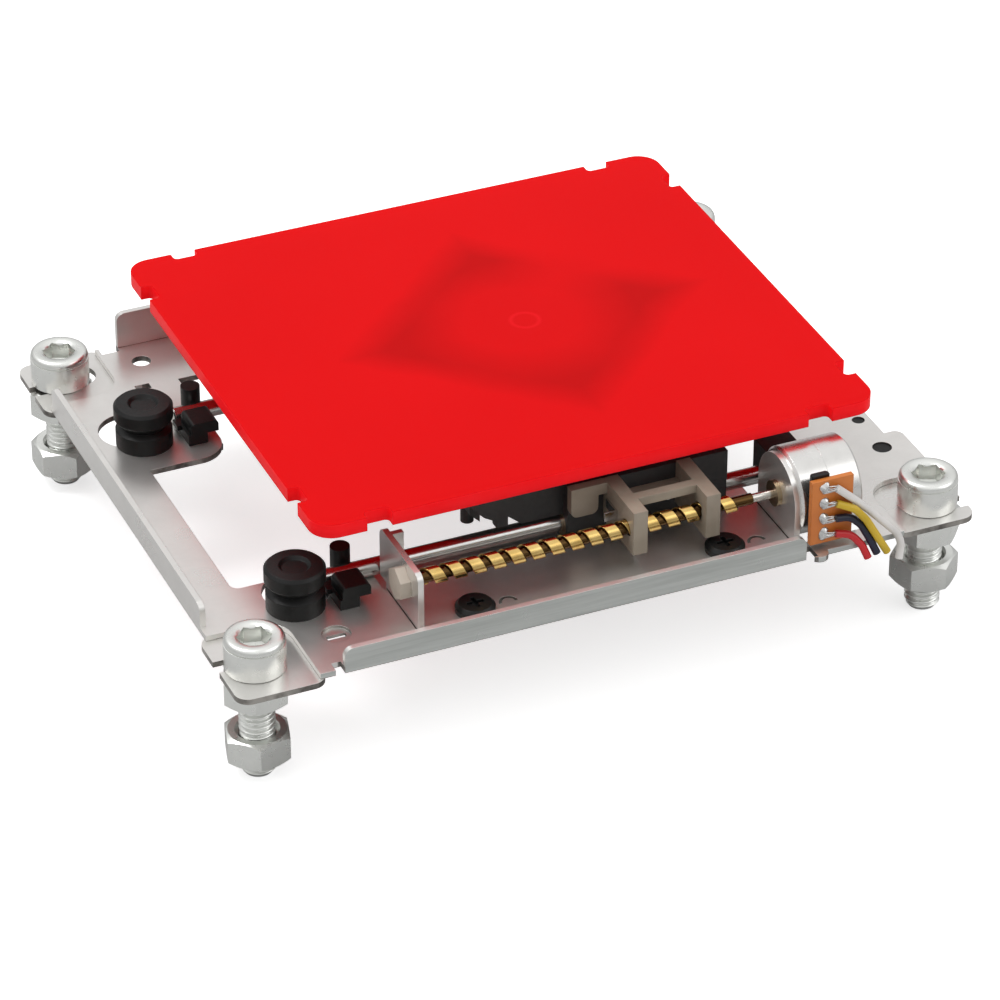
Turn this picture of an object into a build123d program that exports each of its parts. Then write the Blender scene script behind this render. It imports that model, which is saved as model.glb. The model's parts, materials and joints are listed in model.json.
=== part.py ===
from build123d import *
import os
from math import pi, sqrt

# A small linear stage: a stamped deck on four M6 legs, two guide rods, a stepper
# motor with a lead screw, and a carriage that carries a flat table plate.
# Millimetres. +X runs along the lead screw to the motor, +Y to the back, +Z up.
# The origin is on the ground, at the centre of the four leg bolts.

# ---- Leg bolts and nuts (M6) ----
bolt_spacing_x = 118.5
bolt_spacing_y = 93.0
bolt_diameter = 6.0
bolt_shank = 20.0
bolt_head_diameter = 10.0
bolt_head_height = 6.0
bolt_head_chamfer = 0.5
hex_socket_flats = 5.0
hex_socket_depth = 3.2
nut_flats = 10.0
nut_height = 5.0
nut_chamfer = 0.6
nut_thread_clearance = 0.05
lower_nut_rises = (3.1, 5.3, 3.4, 2.8)

# ---- Deck (sheet metal) ----
sheet = 1.0
ear_drop = 1.0
deck_left = -64.0
deck_right = 61.7
deck_front = -54.0
deck_back = 51.8
bend_radius = 1.0
corner_radius = 1.5
deck_top = bolt_shank + ear_drop
deck_bottom = deck_top - sheet
ear_top = bolt_shank
ear_bottom = ear_top - sheet

# ---- Guide rods: both end in line beside the motor ----
rod_diameter = 3.0
rod_right = 42.0
front_rod_left = -42.0
front_rod_y = -31.3
rear_rod_left = -47.1
rear_rod_y = 24.0
rod_z = deck_top + rod_diameter / 2
rod_chamfer = 0.2
seat_clearance = 0.05
fit_clearance = 0.15

# ---- Window in the deck ----
window_left = -55.5
window_end_gap = 4.0
window_right = rod_right + window_end_gap
window_front = -26.6
window_back = 37.2
window_radius = 1.5
lobe_front = 11.9
lobe_radius = 5.0
left_lobe_right = -41.2
right_lobe_setback = 9.0
right_lobe_left = rod_right - right_lobe_setback
bay_front = -35.8
bay_left = -33.2
bay_setback = 5.4
bay_right = rod_right - bay_setback

# ---- Turned-up edges ----
lip_front = -34.6
lip_back = 37.0
lip_height = 5.2
front_flange_left = -47.0
front_flange_setback = 8.6
front_flange_right = rod_right - front_flange_setback
front_flange_height = 4.4
back_flange_left = -47.3
back_flange_right = 42.0
back_flange_height = 7.7
flange_relief = 1.6

# ---- Ears around the legs: (reach outwards, reach inwards, slot reach, mouth offset) ----
ear_side_reach = 5.8
ear_inner_reach = 9.3
ear_reaches = {
    "front_left": (8.3, 10.5, 0.5, 2.0),
    "front_right": (6.8, 8.5, 0.5, -2.0),
    "rear_right": (6.6, 10.0, 0.5, 2.0),
    "rear_left": (6.6, 10.0, 2.8, -2.0),
}
ear_corner_radius = 2.4
ear_inner_radius = 6.0
joggle_width = 1.2
ear_slot_width = 6.8
ear_mouth_width = 3.0
bulge_right = 64.6
bulge_back = -26.1

# ---- Small holes in the deck: (x, y, diameter) ----
deck_holes = ((-45.0, 45.2, 3.3),)
plug_holes = ((59.6, -20.7, 2.2), (59.4, -29.9, 3.3))
plug_length = 0.8
plug_lip = 0.6
dimple_x = -44.8
dimple_y = -44.7
dimple_diameter = 4.8
dimple_depth = 0.5
dimple_slot_length = 3.2
dimple_slot_width = 1.0
deck_slots = ((-47.6, 37.1, 2.6, 1.6), (52.0, 40.0, 2.6, 1.6))
edge_tab_x = 35.6
edge_tab_radius = 1.6

# ---- Rod clips and the holder beside the motor ----
clip_column_inset = 0.2
clip_column_width = 3.3
clip_column_depth = 5.0
clip_gap = 1.2
clip_head_inset = 0.6
clip_head_width = 4.9
clip_head_rise = 1.9
clip_head_radius = 0.8
clip_height = 4.0
clip_wing = 0.5
clip_wing_height = 0.9
clip_post_inset = 4.5
clip_post_diameter = 3.3
clip_post_height = 4.7
clip_base_thickness = 1.2
clip_peg_diameter = 2.0
holder_length = 6.2
holder_height = 5.6
holder_front = -35.9
holder_back = -26.6
holder_grip = 5.0
holder_vent = 0.8

# ---- Lead screw ----
screw_y = -43.6
screw_z = deck_top + 6.0
screw_diameter = 3.0
screw_root_diameter = 1.9
screw_lead = 3.4
groove_width = 1.35
groove_flank = 0.25
shaft_diameter = 1.5
pivot_diameter = 1.2
pivot_length = 1.8
mesh_clearance = 0.12
running_clearance = 0.04

# ---- Screw bracket ----
tab_left = -32.6
tab_front = -49.2
tab_back = -33.1
tab_height = 10.2
tab_return = 2.8
tab_return_height = 6.6
strip_front = -52.2
strip_back = -36.6
motor_plate_setback = 9.1
motor_plate_left = rod_right - motor_plate_setback
thread_stop_gap = 4.6
thread_right = motor_plate_left - thread_stop_gap
tab_step = 1.0
motor_plate_radius = 6.8
bracket_screw_x = 22.0
bracket_screw_y = -47.2
bracket_screw_head = 6.6
bracket_screw_head_height = 1.5
bracket_screw_head_chamfer = 0.6
bracket_screw_thread = 2.6
bracket_screw_length = 4.2
cross_recess = 2.9
cross_width = 0.7
cross_depth = 0.7
locator_offset = 5.8
locator_radius = 1.6
locator_width = 0.5
bush_flats = 5.0
bush_flange = 1.7
bush_body_diameter = 3.6

# ---- Motor ----
motor_diameter = 15.0
motor_length = 11.0
motor_wall = 0.6
motor_seam = 0.25
cup_chamfer = 0.4
stator_clearance = 0.1
stator_bore = 9.0
rotor_diameter = 8.4
rotor_length = 6.4
bearing_diameter = 4.4
bearing_boss = 0.8
motor_clearance = 0.8

# ---- Terminal board and leads ----
board_front = -53.2
board_thickness = 1.0
board_setback = 7.6
board_left = rod_right - board_setback
board_length = 7.4
board_bottom = 22.0
board_height = 11.9
terminal_inset = 0.4
terminal_length = 3.4
terminal_height = 0.5
terminal_seat = 6.0
joint_inset = 2.3
joint_x = board_left + joint_inset
joint_drop = 1.4
joint_pitch = 2.9
joint_diameter = 1.8
joint_tip_diameter = 1.0
joint_rise = 0.8
strand_length = 0.9
lead_diameter = 1.3
lead_bend = 3.0

# ---- Grommets ----
grommet_places = {"front_grommet": (-47.8, -34.7), "rear_grommet": (-53.3, 20.6)}
grommet_top_diameter = 10.0
grommet_low_diameter = 9.6
grommet_neck_diameter = 6.4
grommet_waist_diameter = 7.6
grommet_dish_diameter = 5.2
grommet_dish = 0.5
grommet_low_height = 3.0
grommet_waist_rise = 0.7
grommet_flare = 1.5
grommet_top_height = 2.6
grommet_foot_height = 2.2
keyhole_diameter = 11.0
keyhole_offsets = {"front_grommet": (1.5, 3.8), "rear_grommet": (-0.9, 4.4)}

# ---- Carriage ----
carriage_left = -15.8
carriage_setback = 13.7
carriage_right = rod_right - carriage_setback
carriage_front = -32.2
sleeve_front = -34.6
carriage_back = 30.0
carriage_bottom = 25.5
carriage_top = 31.0
carriage_wall = 1.8
carriage_roof = 1.6
carriage_rib = 1.4
carriage_corner = 3.5
sleeve_left = -0.2
sleeve_diameter = 6.2
bush_diameter = 4.8
bush_length = 6.0
carriage_bevel_width = 1.8
carriage_bevel_height = 2.4
skirt_thickness = 1.8
skirt_left = -7.4
skirt_slope = 2.4
skirt_gap = 0.5
leg_left = -11.8
leg_width = 2.0
leg_gap = 0.7
lug_x = -15.0
lug_y = -27.4
lug_diameter = 2.2
lug_drop = 1.2
shoe_x = 7.0
shoe_length = 10.0
shoe_depth = 6.0
shoe_lip = 1.2
shoe_clearance = 0.05

# ---- Drive nut ----
nut_left = 6.0
nut_arm = 2.5
nut_arm_gap = 10.4
nut_front = -46.4
nut_top = 31.4
nut_bottom = 23.4
nut_base = 1.6
nut_bar = 1.5
nut_bar_front = -42.5
nut_bar_width = 1.8
nut_base_bottom = 25.7
nut_base_height = 2.5
tongue_left = -0.4
tongue_width = 4.8
tongue_bottom = 26.0
tongue_radius = 1.2
tongue_web = 2.0
nut_screw_inset = 2.3
nut_screw_rise = 1.25
nut_screw_head = 2.2
nut_screw_head_height = 0.8
nut_screw_diameter = 1.4
nut_screw_length = 4.0
spring_thickness = 0.3
spring_reach = 2.3
spring_front = -40.2
spring_bottom = 26.8
spring_width = 1.6

# ---- Table ----
table_left = -45.8
table_length = 98.8
table_front = -39.9
table_width = 89.6
table_thickness = 2.4
riser_height = 4.6
table_corner = 4.0
notch_width = 4.3
notch_depth = 1.9
notch_setback = 8.5
notch_radius = 0.8
riser_x = 9.7
riser_y = 5.7
riser_arm = 26.0
riser_arm_width = 12.0
riser_pad_diameter = 15.0
riser_floor = 1.6
riser_wall = 1.4
riser_hub_diameter = 5.0
riser_screw_x = 11.0
riser_screw_head = 3.8
riser_screw_head_height = 1.2
riser_screw_diameter = 2.0
riser_screw_length = 3.0

# ---- Places worked out from the sizes above ----
thread_left = tab_left + sheet + 2 * fit_clearance
nut_screw_z = nut_base_bottom + nut_screw_rise
motor_left = motor_plate_left + sheet
motor_right = motor_left + motor_length
motor_middle = motor_left + motor_length / 2
motor_radius = motor_diameter / 2
table_bottom = carriage_top + riser_height
table_top = table_bottom + table_thickness
nut_right = nut_left + 2 * nut_arm + nut_arm_gap
bolt_places = {
    "front_left": (-bolt_spacing_x / 2, -bolt_spacing_y / 2),
    "front_right": (bolt_spacing_x / 2, -bolt_spacing_y / 2),
    "rear_right": (bolt_spacing_x / 2, bolt_spacing_y / 2),
    "rear_left": (-bolt_spacing_x / 2, bolt_spacing_y / 2),
}


def block(x0, x1, y0, y1, z0, z1):
    """A box between three pairs of faces."""
    return Pos((x0 + x1) / 2, (y0 + y1) / 2, (z0 + z1) / 2) * Box(x1 - x0, y1 - y0, z1 - z0)


def area(x0, x1, y0, y1, radius=0.0):
    """A flat rectangle between two pairs of edges, its corners rounded if asked."""
    shape = RectangleRounded(x1 - x0, y1 - y0, radius) if radius else Rectangle(x1 - x0, y1 - y0)
    return Pos((x0 + x1) / 2, (y0 + y1) / 2) * shape


def slab(shape, z0, z1):
    """A flat shape given thickness between two heights."""
    return Pos(0, 0, z0) * extrude(shape, z1 - z0)


def bar(diameter, x0, x1, y, z):
    """A round bar along X."""
    return Pos((x0 + x1) / 2, y, z) * Rot(0, 90, 0) * Cylinder(diameter / 2, x1 - x0)


def post(diameter, x, y, z0, z1):
    """An upright round bar."""
    return Pos(x, y, (z0 + z1) / 2) * Cylinder(diameter / 2, z1 - z0)


def stud(diameter, x, z, y0, y1):
    """A round bar along Y."""
    return Pos(x, (y0 + y1) / 2, z) * Rot(90, 0, 0) * Cylinder(diameter / 2, y1 - y0)


def ear_area(corner, inset=0.0, spread=0.0):
    """The sunken zone around a leg, grown outwards by spread and shrunk inwards by inset."""
    x, y = bolt_places[corner]
    outer, inner = ear_reaches[corner][:2]
    side = 1 if x > 0 else -1
    depth = 1 if y > 0 else -1
    edges_x = sorted((x + side * (ear_side_reach + spread), x - side * (ear_inner_reach - inset)))
    edges_y = sorted((y + depth * (outer + spread), y - depth * (inner - inset)))
    radius = ear_inner_radius - inset if spread else ear_corner_radius
    return area(*edges_x, *edges_y, radius)


def ear_slot(corner):
    """The open slot that lets a leg slide in from the side."""
    x, y = bolt_places[corner]
    reach, offset = ear_reaches[corner][2:]
    side = 1 if x > 0 else -1
    pocket = area(*sorted((x - side * (reach + ear_slot_width / 2), x + side * ear_slot_width / 2)),
                  y - ear_slot_width / 2, y + ear_slot_width / 2, ear_slot_width / 2 - 0.01)
    mouth = area(*sorted((x, x + side * 2 * ear_side_reach)),
                 y + offset - ear_mouth_width / 2, y + offset + ear_mouth_width / 2)
    return pocket + mouth


def ear(corner):
    """One sunken ear of the deck, with its open slot."""
    x, y = bolt_places[corner]
    outer, inner = ear_reaches[corner][:2]
    side = 1 if x > 0 else -1
    depth = 1 if y > 0 else -1
    inner_x = x - side * ear_inner_reach
    inner_y = y - depth * inner
    far_x = x + side * ear_side_reach
    far_y = y + depth * outer
    rounded = area(*sorted((inner_x, far_x)), *sorted((inner_y, far_y)), ear_corner_radius)
    soft = ear_area(corner, 0.0, ear_inner_radius)
    outline = rounded & soft
    return slab(outline - ear_slot(corner), ear_bottom, ear_top)


def window():
    """The opening in the deck, with the bay under the front sleeve and two rear lobes left in."""
    opening = area(window_left, window_right, window_front, window_back, window_radius)
    left_lobe = area(2 * window_left, left_lobe_right, lobe_front, 2 * window_back, lobe_radius)
    right_lobe = area(right_lobe_left, 2 * window_right, lobe_front, 2 * window_back, lobe_radius)
    bay = area(bay_left, bay_right, bay_front, window_front + window_radius)
    return opening - left_lobe - right_lobe + bay


def grommet_slot(name):
    """The hole a grommet sits in, with the wider hole it is fed through."""
    x, y = grommet_places[name]
    dx, dy = keyhole_offsets[name]
    seat = Pos(x, y) * Circle(grommet_neck_diameter / 2)
    return seat + Pos(x + dx, y + dy) * Circle(keyhole_diameter / 2)


def locator(side):
    """A half-round locating slit beside a bracket screw."""
    ring = Circle(locator_radius) - Circle(locator_radius - locator_width)
    half = ring & Pos(0, locator_radius) * Rectangle(4 * locator_radius, 2 * locator_radius)
    x = side * bracket_screw_x + locator_offset
    return Pos(x, bracket_screw_y) * half


def clip_places():
    """Where each rod clip stands: rod end, rod line and the side the end points to."""
    return {
        "front_left": (front_rod_left, front_rod_y, -1),
        "rear_left": (rear_rod_left, rear_rod_y, -1),
        "rear_right": (rod_right, rear_rod_y, 1),
    }


def clip_pegs(end_x, rod_y, side):
    """The two spots where a rod clip passes through the deck: under its column and its post."""
    column_x = end_x - side * (clip_column_inset + clip_column_width / 2)
    column_y = rod_y - rod_diameter / 2 - seat_clearance - clip_gap - clip_column_depth / 2
    post_y = rod_y + rod_diameter / 2 + seat_clearance + clip_post_diameter / 2
    return (column_x, column_y), (end_x - side * clip_post_inset, post_y)


def deck_outline():
    """The flat outline of the deck, without its holes."""
    outline = area(deck_left, deck_right, deck_front, deck_back, corner_radius)
    outline += area(0, bulge_right, -bolt_spacing_y / 2, bulge_back, corner_radius)
    outline += Pos(edge_tab_x, deck_front) * Circle(edge_tab_radius)
    return outline


def turned_up_edge(x0, x1, y0, y1, height, along_x):
    """A sheet edge turned up to a height, its top corners rounded."""
    edge = block(x0, x1, y0, y1, deck_bottom, deck_top - sheet + height)
    axis = Axis.Y if along_x else Axis.X
    upper = edge.edges().filter_by(axis).group_by(Axis.Z)[-1]
    return fillet(upper, corner_radius)


def chassis():
    """The stamped deck: sheet with window, turned-up edges and four sunken ears."""
    plan = deck_outline() - window()
    for corner in bolt_places:
        plan -= ear_area(corner, joggle_width, ear_inner_radius)
    for name in grommet_places:
        plan -= grommet_slot(name)
    for side in (-1, 1):
        plan -= locator(side)
        plan -= Pos(side * bracket_screw_x, bracket_screw_y) * Circle(bracket_screw_thread / 2)
    for x, y, diameter in deck_holes + plug_holes:
        plan -= Pos(x, y) * Circle(diameter / 2)
    for place in clip_places().values():
        for x, y in clip_pegs(*place):
            plan -= Pos(x, y) * Circle(clip_peg_diameter / 2 + seat_clearance)
    plan -= Pos(dimple_x, dimple_y) * Rectangle(dimple_slot_length, dimple_slot_width)
    for x, y, length, width in deck_slots:
        plan -= Pos(x, y) * Rectangle(length, width)
    plan -= area(tab_left - fit_clearance, tab_left + sheet + fit_clearance,
                 tab_front - fit_clearance, bay_front + fit_clearance)
    plan -= area(motor_plate_left - fit_clearance, motor_right + motor_clearance,
                 screw_y - motor_plate_radius - fit_clearance,
                 screw_y + motor_plate_radius + fit_clearance)
    for start in (front_flange_left - flange_relief, front_flange_right):
        plan -= area(start, start + flange_relief, deck_front - sheet, deck_front + 2 * sheet)
    plan -= area(back_flange_left - 2 * flange_relief, back_flange_left,
                 deck_back - 2 * sheet, deck_back + sheet)
    deck = slab(plan, deck_bottom, deck_top)
    deck -= post(dimple_diameter, dimple_x, dimple_y, deck_top - dimple_depth, deck_top + dimple_depth)
    deck += turned_up_edge(deck_left, deck_left + sheet, lip_front, lip_back, lip_height, False)
    deck += turned_up_edge(front_flange_left, front_flange_right, deck_front,
                           deck_front + sheet, front_flange_height, True)
    deck += turned_up_edge(back_flange_left, back_flange_right, deck_back - sheet,
                           deck_back, back_flange_height, True)
    for corner in bolt_places:
        deck += ear(corner)
    return deck


def screw_bracket():
    """The strip under the deck whose two ends turn up to hold the lead screw and the motor."""
    strip = block(tab_left, motor_plate_left + sheet, strip_front, strip_back, ear_bottom, ear_top)
    tab = block(tab_left, tab_left + sheet, tab_front, tab_back, ear_bottom, deck_top + tab_height)
    tab = fillet(tab.edges().filter_by(Axis.X).group_by(Axis.Z)[-1], corner_radius)
    tab -= block(tab_left, tab_left + sheet, bay_front, tab_back, ear_bottom, deck_top + tab_step)
    back_lip = block(tab_left, tab_left + sheet + tab_return, tab_back - sheet, tab_back,
                     deck_top + tab_height - tab_return_height, deck_top + tab_height - corner_radius)
    plate = bar(2 * motor_plate_radius, motor_plate_left, motor_left, screw_y, screw_z)
    plate += block(motor_plate_left, motor_left, screw_y - motor_plate_radius,
                   screw_y + motor_plate_radius, ear_bottom, screw_z)
    bracket = strip + tab + back_lip + plate
    bracket -= bar(bush_body_diameter, tab_left - sheet, tab_left + 2 * sheet, screw_y, screw_z)
    bracket -= bar(bearing_diameter, motor_plate_left - sheet, motor_left + sheet, screw_y, screw_z)
    for side in (-1, 1):
        bracket -= post(bracket_screw_thread, side * bracket_screw_x, bracket_screw_y,
                        ear_bottom - sheet, deck_top)
    return bracket


def bracket_screws():
    """The two pan-head screws that clamp the bracket under the deck."""
    screws = []
    for side in (-1, 1):
        x = side * bracket_screw_x
        head = post(bracket_screw_head, x, bracket_screw_y, deck_top, deck_top + bracket_screw_head_height)
        head = chamfer(head.edges().group_by(Axis.Z)[-1], bracket_screw_head_chamfer)
        top = deck_top + bracket_screw_head_height
        for length, width in ((cross_recess, cross_width), (cross_width, cross_recess)):
            head -= Pos(x, bracket_screw_y, top) * Box(length, width, 2 * cross_depth)
        screws.append(head + post(bracket_screw_thread, x, bracket_screw_y,
                                  deck_top - bracket_screw_length, deck_top))
    return Compound(children=screws)


def end_bush():
    """The plastic bush in the left tab that carries the free end of the lead screw."""
    flange = Rot(0, 90, 0) * extrude(RegularPolygon(bush_flats / sqrt(3), 6), bush_flange)
    bush = Pos(tab_left - bush_flange, screw_y, screw_z) * flange
    bush += bar(bush_body_diameter, tab_left, tab_left + sheet + fit_clearance, screw_y, screw_z)
    bore = pivot_diameter + 2 * running_clearance
    return bush - bar(bore, tab_left - pivot_length / 2, tab_left + 2 * sheet, screw_y, screw_z)


def guide_rod(left, y):
    """One ground guide rod lying on the deck."""
    rod = bar(rod_diameter, left, rod_right, y, rod_z)
    return chamfer(rod.edges().filter_by(GeomType.CIRCLE), rod_chamfer)


def rod_clip(end_x, rod_y, side):
    """A moulded clip near a rod's end: hooked column in front, post behind, base under the deck."""
    (column_x, column_y), (post_x, post_y) = clip_pegs(end_x, rod_y, side)
    head_x = end_x - side * (clip_head_inset + clip_head_width / 2)
    rod_face = rod_y - rod_diameter / 2 - seat_clearance
    front = column_y - clip_column_depth / 2
    back = column_y + clip_column_depth / 2
    top = deck_top + clip_height
    head_bottom = deck_top + clip_head_rise
    half = clip_column_width / 2
    head = block(head_x - clip_head_width / 2, head_x + clip_head_width / 2, front, back, head_bottom, top)
    head = fillet(head.edges().filter_by(Axis.Y).group_by(Axis.Z)[-1], clip_head_radius)
    clip = head + block(column_x - half, column_x + half, front, rod_face, deck_top, head_bottom)
    clip += block(*sorted((column_x, end_x + side * clip_wing)), back - clip_gap, rod_face,
                  head_bottom - clip_wing_height, head_bottom)
    clip += post(clip_post_diameter, post_x, post_y, deck_top, deck_top + clip_post_height)
    for x, y in ((column_x, column_y), (post_x, post_y)):
        clip += post(clip_peg_diameter, x, y, deck_bottom, deck_top)
    reach = clip_post_diameter / 2
    ends = sorted((column_x + side * half, post_x - side * reach))
    return clip + block(*ends, front, post_y + reach, deck_bottom - clip_base_thickness, deck_bottom)


def rod_holder():
    """The narrow holder of the front rod beside the motor."""
    left = rod_right - holder_grip
    body = block(left, left + holder_length, holder_front, holder_back, deck_top, deck_top + holder_height)
    return body - bar(rod_diameter + 2 * seat_clearance, left - holder_vent,
                      rod_right + seat_clearance, front_rod_y, rod_z)


def grommet(name):
    """A rubber damper: foot under the deck, neck in its slot, low flange, waist, dished top disc."""
    x, y = grommet_places[name]
    foot = deck_bottom - grommet_foot_height
    low_top = deck_top + grommet_low_height
    waist = low_top + grommet_waist_rise
    flare = waist + grommet_flare
    top = flare + grommet_top_height
    profile = Polyline((0, foot), (grommet_low_diameter / 2, foot),
                       (grommet_low_diameter / 2, deck_bottom), (grommet_neck_diameter / 2, deck_bottom),
                       (grommet_neck_diameter / 2, deck_top), (grommet_low_diameter / 2, deck_top),
                       (grommet_low_diameter / 2, low_top), (grommet_waist_diameter / 2, waist),
                       (grommet_top_diameter / 2, flare), (grommet_top_diameter / 2, top - grommet_dish),
                       (grommet_top_diameter / 2 - grommet_dish, top), (grommet_dish_diameter / 2, top),
                       (grommet_dish_diameter / 2 - grommet_dish, top - grommet_dish),
                       (0, top - grommet_dish), close=True)
    turned = revolve(Plane.XZ * make_face(profile), Axis.Z)
    return Pos(x, y, 0) * turned


def deck_plugs():
    """The two push-in plugs that blank the small holes by the right legs."""
    plugs = []
    for x, y, diameter in plug_holes:
        body = post(diameter - 2 * seat_clearance, x, y, deck_bottom, deck_bottom + plug_length)
        plugs.append(body + post(diameter + 2 * plug_lip, x, y, deck_bottom - plug_lip, deck_bottom))
    return Compound(children=plugs)


def leg_bolts():
    """The four M6 socket-cap bolts the stage stands on."""
    bolts = []
    for x, y in bolt_places.values():
        head = post(bolt_head_diameter, x, y, bolt_shank, bolt_shank + bolt_head_height)
        head = chamfer(head.edges().group_by(Axis.Z)[-1], bolt_head_chamfer)
        socket = Pos(x, y, bolt_shank + bolt_head_height - hex_socket_depth) * extrude(
            RegularPolygon(hex_socket_flats / sqrt(3), 6), hex_socket_depth)
        shank = post(bolt_diameter, x, y, 0, bolt_shank)
        shank = chamfer(shank.edges().group_by(Axis.Z)[0], bolt_head_chamfer)
        bolts.append(head - socket + shank)
    return Compound(children=bolts)


def hex_nut(x, y, bottom):
    """One M6 hexagon nut, its corners turned down at both faces."""
    body = extrude(RegularPolygon(nut_flats / sqrt(3), 6), nut_height)
    turned = Pos(0, 0, nut_height / 2) * Cylinder(nut_flats / sqrt(3), nut_height)
    turned = chamfer(turned.edges().filter_by(GeomType.CIRCLE), nut_chamfer / 2, nut_chamfer)
    bore = Pos(0, 0, nut_height / 2) * Cylinder(bolt_diameter / 2 + nut_thread_clearance, 2 * nut_height)
    return Pos(x, y, bottom) * ((body & turned) - bore)


def upper_nuts():
    """The nuts that clamp the ears against the bolt heads."""
    return Compound(children=[hex_nut(x, y, ear_bottom - nut_height) for x, y in bolt_places.values()])


def lower_nuts():
    """The free nuts lower on the legs, for levelling or for the mounting board."""
    rises = zip(bolt_places.values(), lower_nut_rises)
    return Compound(children=[hex_nut(x, y, rise) for (x, y), rise in rises])


def threaded_bar(start, end, first_turn, turns, growth):
    """A bar with whole turns of the lead screw's helical ridge; growth makes it fatter all round."""
    radius = screw_diameter / 2 + growth
    root = screw_root_diameter / 2 + growth
    crest = (screw_lead - groove_width) / 2 + growth
    foot = crest + groove_flank
    buried = root - groove_flank / 2
    section = Polyline((buried, 0, -foot), (buried, 0, foot), (radius, 0, crest), (radius, 0, -crest), close=True)
    turn = Rot(0, 90, 0) * sweep(make_face(section), Helix(screw_lead, screw_lead, radius), is_frenet=True)
    origin = thread_left + screw_lead / 2
    ridge = [Pos(origin + (first_turn + number) * screw_lead, screw_y, screw_z) * turn for number in range(turns)]
    return bar(2 * root, start, end, screw_y, screw_z) + ridge


def lead_screw():
    """The lead screw: a rolled helical groove, a plain shaft to the motor and two end pivots."""
    turns = int((thread_right - thread_left) / screw_lead) - 1
    screw = threaded_bar(thread_left, thread_right, 0, turns, 0.0)
    screw += bar(pivot_diameter, tab_left - pivot_length / 2 + fit_clearance, thread_left, screw_y, screw_z)
    screw += bar(shaft_diameter, thread_right, motor_right, screw_y, screw_z)
    return screw


def rotor_magnet():
    """The ring magnet pressed on the motor shaft."""
    half = rotor_length / 2
    magnet = bar(rotor_diameter, motor_middle - half, motor_middle + half, screw_y, screw_z)
    return magnet - bar(shaft_diameter, motor_left, motor_right, screw_y, screw_z)


def motor_cup(wall_x, open_x):
    """One drawn half of the motor case, closed at wall_x and open at open_x."""
    side = 1 if open_x > wall_x else -1
    cup = bar(motor_diameter, *sorted((wall_x, open_x)), screw_y, screw_z)
    rim = cup.edges().filter_by(GeomType.CIRCLE).sort_by(Axis.X)
    cup = chamfer(rim[0] if side > 0 else rim[-1], cup_chamfer)
    hollow = (wall_x + side * motor_wall, open_x + side * motor_wall)
    cup -= bar(motor_diameter - 2 * motor_wall, *sorted(hollow), screw_y, screw_z)
    return cup - bar(bearing_diameter, wall_x - 1, wall_x + 1, screw_y, screw_z)


def motor_coil(wall_x):
    """One wound coil ring inside the motor case."""
    side = 1 if motor_middle > wall_x else -1
    ends = sorted((wall_x + side * motor_wall, motor_middle))
    outer = motor_diameter - 2 * motor_wall - 2 * stator_clearance
    ring = bar(outer, *ends, screw_y, screw_z)
    return ring - bar(stator_bore, motor_left - 1, motor_right + 1, screw_y, screw_z)


def motor_bearing(x0, x1, blind_side):
    """A plain bearing held in a motor end wall; blind_side closes one end."""
    bore = shaft_diameter + 2 * running_clearance
    ring = bar(bearing_diameter, x0, x1, screw_y, screw_z)
    stop = x1 - running_clearance * 2 if not blind_side else motor_right + running_clearance
    return ring - bar(bore, x0 - 1, x1 + 1 if not blind_side else stop, screw_y, screw_z)


def terminal_block():
    """The black moulding between the motor case and the terminal board."""
    left = board_left + terminal_inset
    body = block(left, left + terminal_length, board_front + board_thickness,
                 screw_y - terminal_seat, board_bottom, board_bottom + board_height + terminal_height)
    return body - bar(motor_diameter, motor_left - 1, motor_right + 1, screw_y, screw_z)


def motor_board():
    """The terminal board the four leads are soldered to."""
    return block(board_left, board_left + board_length, board_front, board_front + board_thickness,
                 board_bottom, board_bottom + board_height)


def joint_height(row):
    """Height of a solder joint, counted from the top one."""
    return board_bottom + board_height - joint_drop - joint_pitch * row


def solder_joints():
    """The four solder joints on the terminal board."""
    joints = []
    for row in range(len(lead_points)):
        cone = Rot(90, 0, 0) * Cone(joint_diameter / 2, joint_tip_diameter / 2, joint_rise)
        joints.append(Pos(joint_x, board_front - joint_rise / 2, joint_height(row)) * cone)
    return Compound(children=joints)


def lead(row, points):
    """One cut lead stub that leaves its joint and hangs over the front edge."""
    start_x = joint_x + joint_diameter / 2 + strand_length
    start = (start_x, board_front - lead_diameter / 2 - fit_clearance, joint_height(row))
    path = FilletPolyline(start, *points, radius=lead_bend)
    section = Plane(origin=start, z_dir=path % 0) * Circle(lead_diameter / 2)
    return sweep(section, path)


def carriage_side():
    """The carriage's outline seen from the front: bevelled end, thin leg and deep skirt."""
    over_rod = rod_z + rod_diameter / 2
    leg_right = leg_left + leg_width
    return Polyline((carriage_left, carriage_top), (carriage_left, carriage_top - carriage_bevel_width),
                    (carriage_left + carriage_bevel_width, carriage_bottom + carriage_bevel_width),
                    (leg_left, carriage_bottom + skirt_gap), (leg_left, over_rod + leg_gap),
                    (leg_right, over_rod + leg_gap), (leg_right, carriage_bottom + skirt_gap * 2),
                    (skirt_left, over_rod + skirt_gap), (carriage_right, over_rod + skirt_gap),
                    (carriage_right, carriage_top), close=True)


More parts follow.
